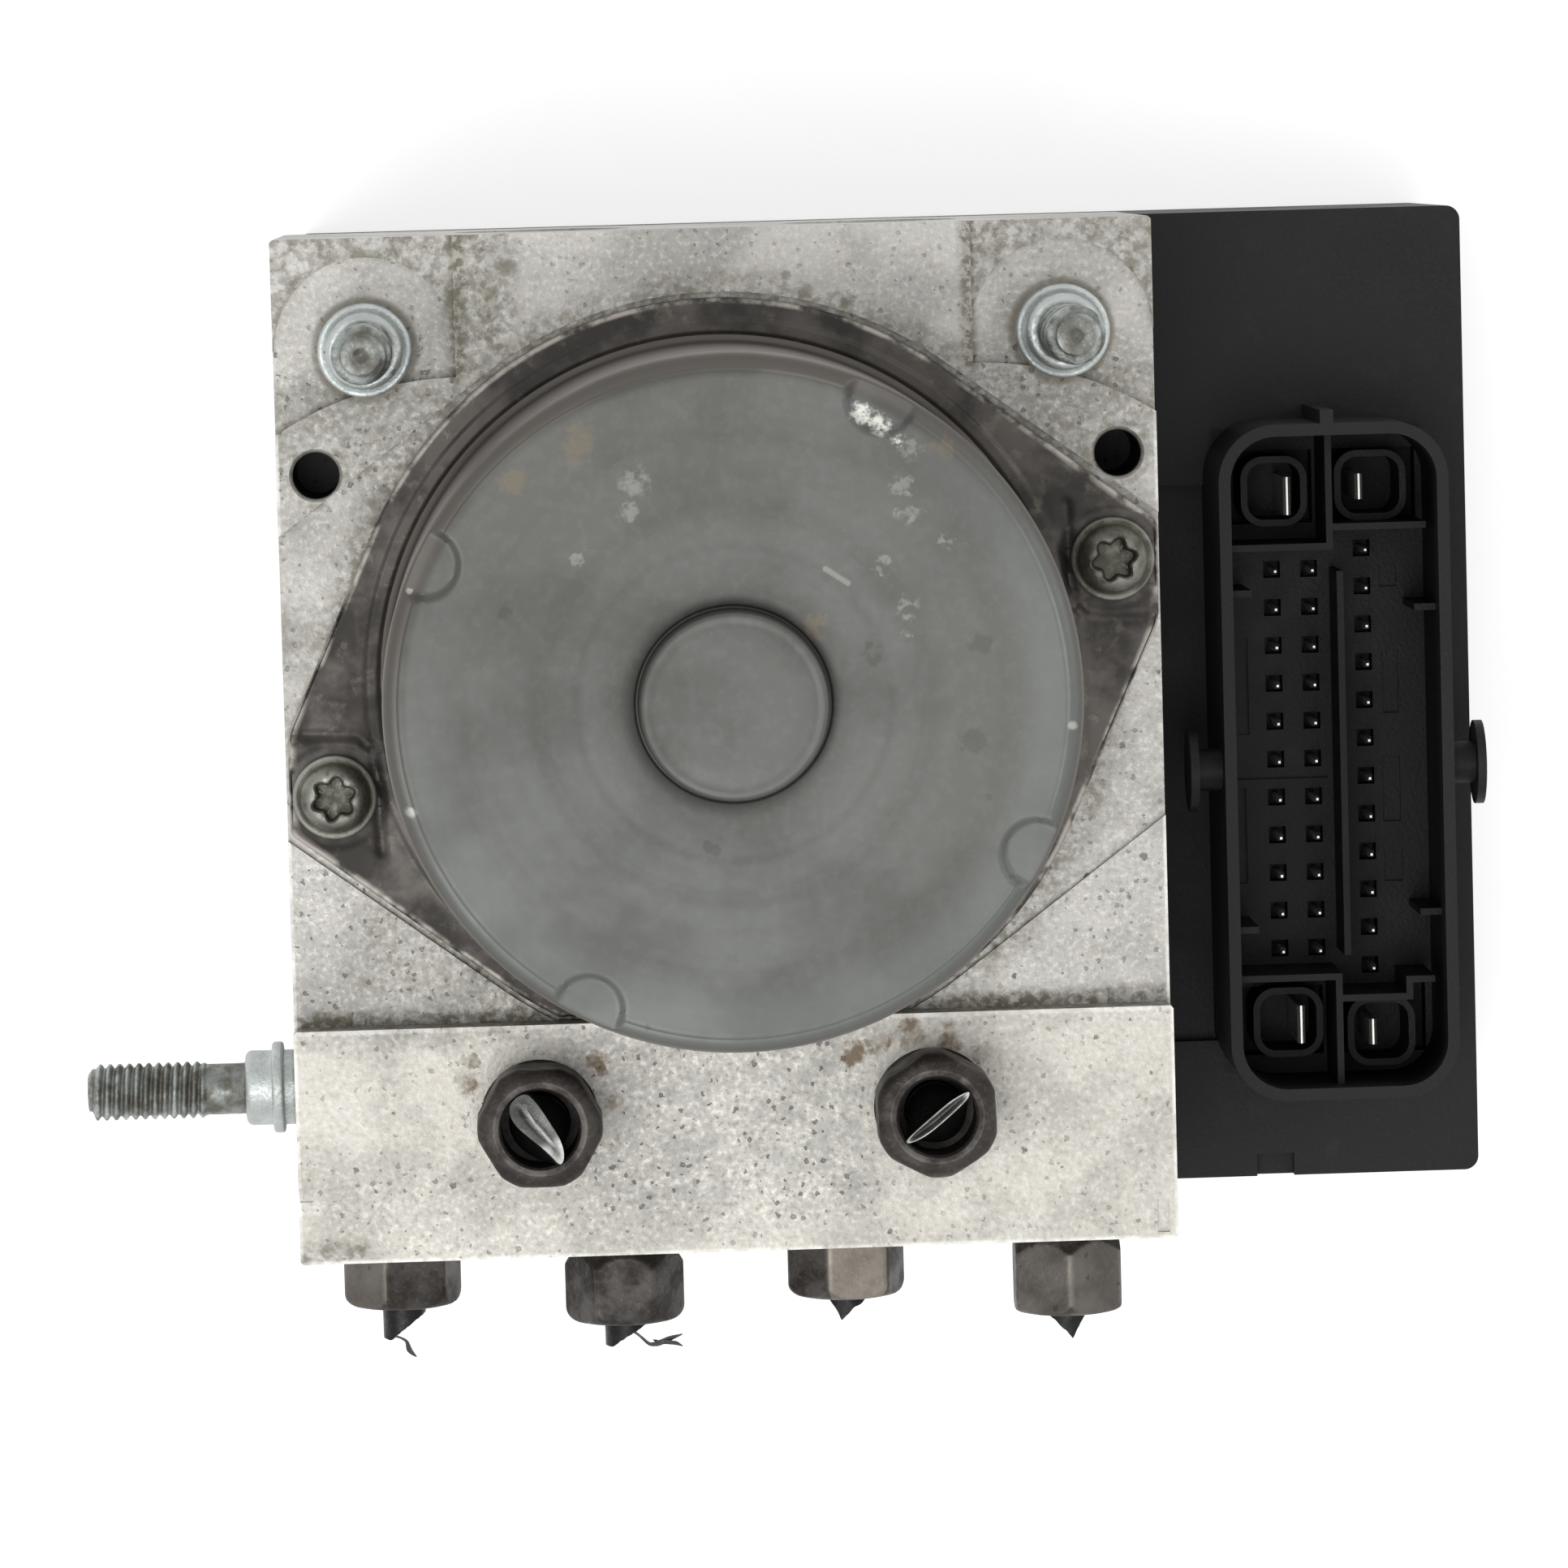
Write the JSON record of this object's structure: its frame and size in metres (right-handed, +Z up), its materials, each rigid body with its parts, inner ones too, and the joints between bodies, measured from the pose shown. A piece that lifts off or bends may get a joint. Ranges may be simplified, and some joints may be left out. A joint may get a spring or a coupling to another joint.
{
  "type": "abs brake module",
  "caption": "Anti-lock brake unit: upright pump motor on a drilled aluminium block, a control unit with its connector below, mounting studs and cut-off brake pipes.",
  "frame": {"origin": "on the pump motor's axis, at the underside of the control unit's cover", "axes": "+Z up the motor's axis, +X towards the connector, -Y towards the wheel ports"},
  "size_m": [0.1477, 0.1172, 0.1226],
  "materials": {
    "block_aluminium": "milled, pitted and stained",
    "can_steel": "dull grey-green coating, scuffed",
    "magnet_ferrite": "matt",
    "screw_steel": "worn",
    "bush_bronze": "sintered",
    "bearing_steel": "ground",
    "motor_plastic": "moulded",
    "carbon": "matt",
    "core_steel": "laminated",
    "copper": "enamelled wire",
    "spring_steel": "drawn wire",
    "turned_steel": "turned",
    "anodised_aluminium": "turned",
    "seal_rubber": "matt",
    "ecu_plastic": "fine moulded grain",
    "board_green": "coated",
    "board_parts": "moulded",
    "tin": "tin plated",
    "stud_zinc": "zinc plated",
    "nut_steel": "dark oxide, stained",
    "pipe_steel": "cut steel"
  },
  "bodies": {
    "unit": {"hydraulic_block": "block_aluminium", "motor_can": "can_steel", "motor_magnets": "magnet_ferrite", "motor_screws": "screw_steel", "boss_bush": "bush_bronze", "bearing_outer_ring": "bearing_steel", "bearing_balls": "bearing_steel", "brush_plate": "motor_plastic", "brush_spring_left": "spring_steel", "brush_spring_right": "spring_steel", "motor_contact": "motor_plastic", "pump_sleeves": "turned_steel", "pump_spring_left": "spring_steel", "pump_spring_right": "spring_steel", "pump_plugs": "turned_steel", "accumulator_spring_left": "spring_steel", "accumulator_spring_right": "spring_steel", "accumulator_caps": "anodised_aluminium", "inlet_valve_bodies": "core_steel", "outlet_valve_bodies": "core_steel", "valve_springs": "spring_steel", "coil_bobbins": "motor_plastic", "coil_windings": "copper", "coil_yokes": "core_steel", "ecu_housing": "ecu_plastic", "ecu_cover": "ecu_plastic", "circuit_board": "board_green", "board_parts": "board_parts", "signal_pins": "tin", "power_blades": "tin", "ecu_seal": "seal_rubber", "ecu_screws": "screw_steel", "mounting_studs": "stud_zinc", "tube_nuts": "nut_steel", "pipe_stubs": "pipe_steel"},
    "rotor": {"motor_shaft": "bearing_steel", "rotor_core": "core_steel", "rotor_winding": "copper", "commutator": "copper", "bearing_inner_ring": "bearing_steel"},
    "eccentric": {"eccentric_ring": "bearing_steel", "eccentric_needles": "bearing_steel"},
    "pump_left": {"pump_piston_left": "bearing_steel"},
    "brush_left_slider": {"brush_left": "carbon"},
    "accumulator_left": {"accumulator_piston_left": "anodised_aluminium", "accumulator_seal_left": "seal_rubber"},
    "pump_right": {"pump_piston_right": "bearing_steel"},
    "brush_right_slider": {"brush_right": "carbon"},
    "accumulator_right": {"accumulator_piston_right": "anodised_aluminium", "accumulator_seal_right": "seal_rubber"},
    "inlet_valve_1": {"inlet_armature_1": "core_steel"},
    "inlet_valve_2": {"inlet_armature_2": "core_steel"},
    "inlet_valve_3": {"inlet_armature_3": "core_steel"},
    "inlet_valve_4": {"inlet_armature_4": "core_steel"},
    "outlet_valve_1": {"outlet_armature_1": "core_steel"},
    "outlet_valve_2": {"outlet_armature_2": "core_steel"},
    "outlet_valve_3": {"outlet_armature_3": "core_steel"},
    "outlet_valve_4": {"outlet_armature_4": "core_steel"}
  },
  "joints": [
    {"name": "motor_spin", "type": "hinge", "parent": "unit", "child": "rotor", "pos_m": [0, 0, 0.064], "axis": [0, 0, 1], "continuous": true},
    {"name": "eccentric_roll", "type": "hinge", "parent": "rotor", "child": "eccentric", "pos_m": [0, 0.001, 0.064], "axis": [0, 0, 1], "continuous": true},
    {"name": "pump_left_stroke", "type": "slide", "parent": "unit", "child": "pump_left", "axis": [-1, 0, 0], "range_m": [0, 0.002], "stiffness_N_per_m": 2000, "springref_m": -0.001, "deforming": ["pump_spring_left"]},
    {"name": "brush_left_wear", "type": "slide", "parent": "unit", "child": "brush_left_slider", "axis": [-1, 0, 0], "range_m": [0, 0.003], "stiffness_N_per_m": 400, "springref_m": -0.002, "deforming": ["brush_spring_left"]},
    {"name": "accumulator_left_stroke", "type": "slide", "parent": "unit", "child": "accumulator_left", "axis": [0, 1, 0], "range_m": [0, 0.006], "stiffness_N_per_m": 1500, "springref_m": -0.002, "deforming": ["accumulator_spring_left"]},
    {"name": "pump_right_stroke", "type": "slide", "parent": "unit", "child": "pump_right", "axis": [1, 0, 0], "range_m": [0, 0.002], "stiffness_N_per_m": 2000, "springref_m": -0.001, "deforming": ["pump_spring_right"]},
    {"name": "brush_right_wear", "type": "slide", "parent": "unit", "child": "brush_right_slider", "axis": [1, 0, 0], "range_m": [0, 0.003], "stiffness_N_per_m": 400, "springref_m": -0.002, "deforming": ["brush_spring_right"]},
    {"name": "accumulator_right_stroke", "type": "slide", "parent": "unit", "child": "accumulator_right", "axis": [0, 1, 0], "range_m": [0, 0.006], "stiffness_N_per_m": 1500, "springref_m": -0.002, "deforming": ["accumulator_spring_right"]},
    {"name": "inlet_valve_1_lift", "type": "slide", "parent": "unit", "child": "inlet_valve_1", "axis": [0, 0, 1], "range_m": [0, 0.0003], "stiffness_N_per_m": 3000, "springref_m": -0.0005},
    {"name": "inlet_valve_2_lift", "type": "slide", "parent": "unit", "child": "inlet_valve_2", "axis": [0, 0, 1], "range_m": [0, 0.0003], "stiffness_N_per_m": 3000, "springref_m": -0.0005},
    {"name": "inlet_valve_3_lift", "type": "slide", "parent": "unit", "child": "inlet_valve_3", "axis": [0, 0, 1], "range_m": [0, 0.0003], "stiffness_N_per_m": 3000, "springref_m": -0.0005},
    {"name": "inlet_valve_4_lift", "type": "slide", "parent": "unit", "child": "inlet_valve_4", "axis": [0, 0, 1], "range_m": [0, 0.0003], "stiffness_N_per_m": 3000, "springref_m": -0.0005},
    {"name": "outlet_valve_1_lift", "type": "slide", "parent": "unit", "child": "outlet_valve_1", "axis": [0, 0, -1], "range_m": [0, 0.0003], "stiffness_N_per_m": 3000, "springref_m": -0.0005},
    {"name": "outlet_valve_2_lift", "type": "slide", "parent": "unit", "child": "outlet_valve_2", "axis": [0, 0, -1], "range_m": [0, 0.0003], "stiffness_N_per_m": 3000, "springref_m": -0.0005},
    {"name": "outlet_valve_3_lift", "type": "slide", "parent": "unit", "child": "outlet_valve_3", "axis": [0, 0, -1], "range_m": [0, 0.0003], "stiffness_N_per_m": 3000, "springref_m": -0.0005},
    {"name": "outlet_valve_4_lift", "type": "slide", "parent": "unit", "child": "outlet_valve_4", "axis": [0, 0, -1], "range_m": [0, 0.0003], "stiffness_N_per_m": 3000, "springref_m": -0.0005}
  ]
}
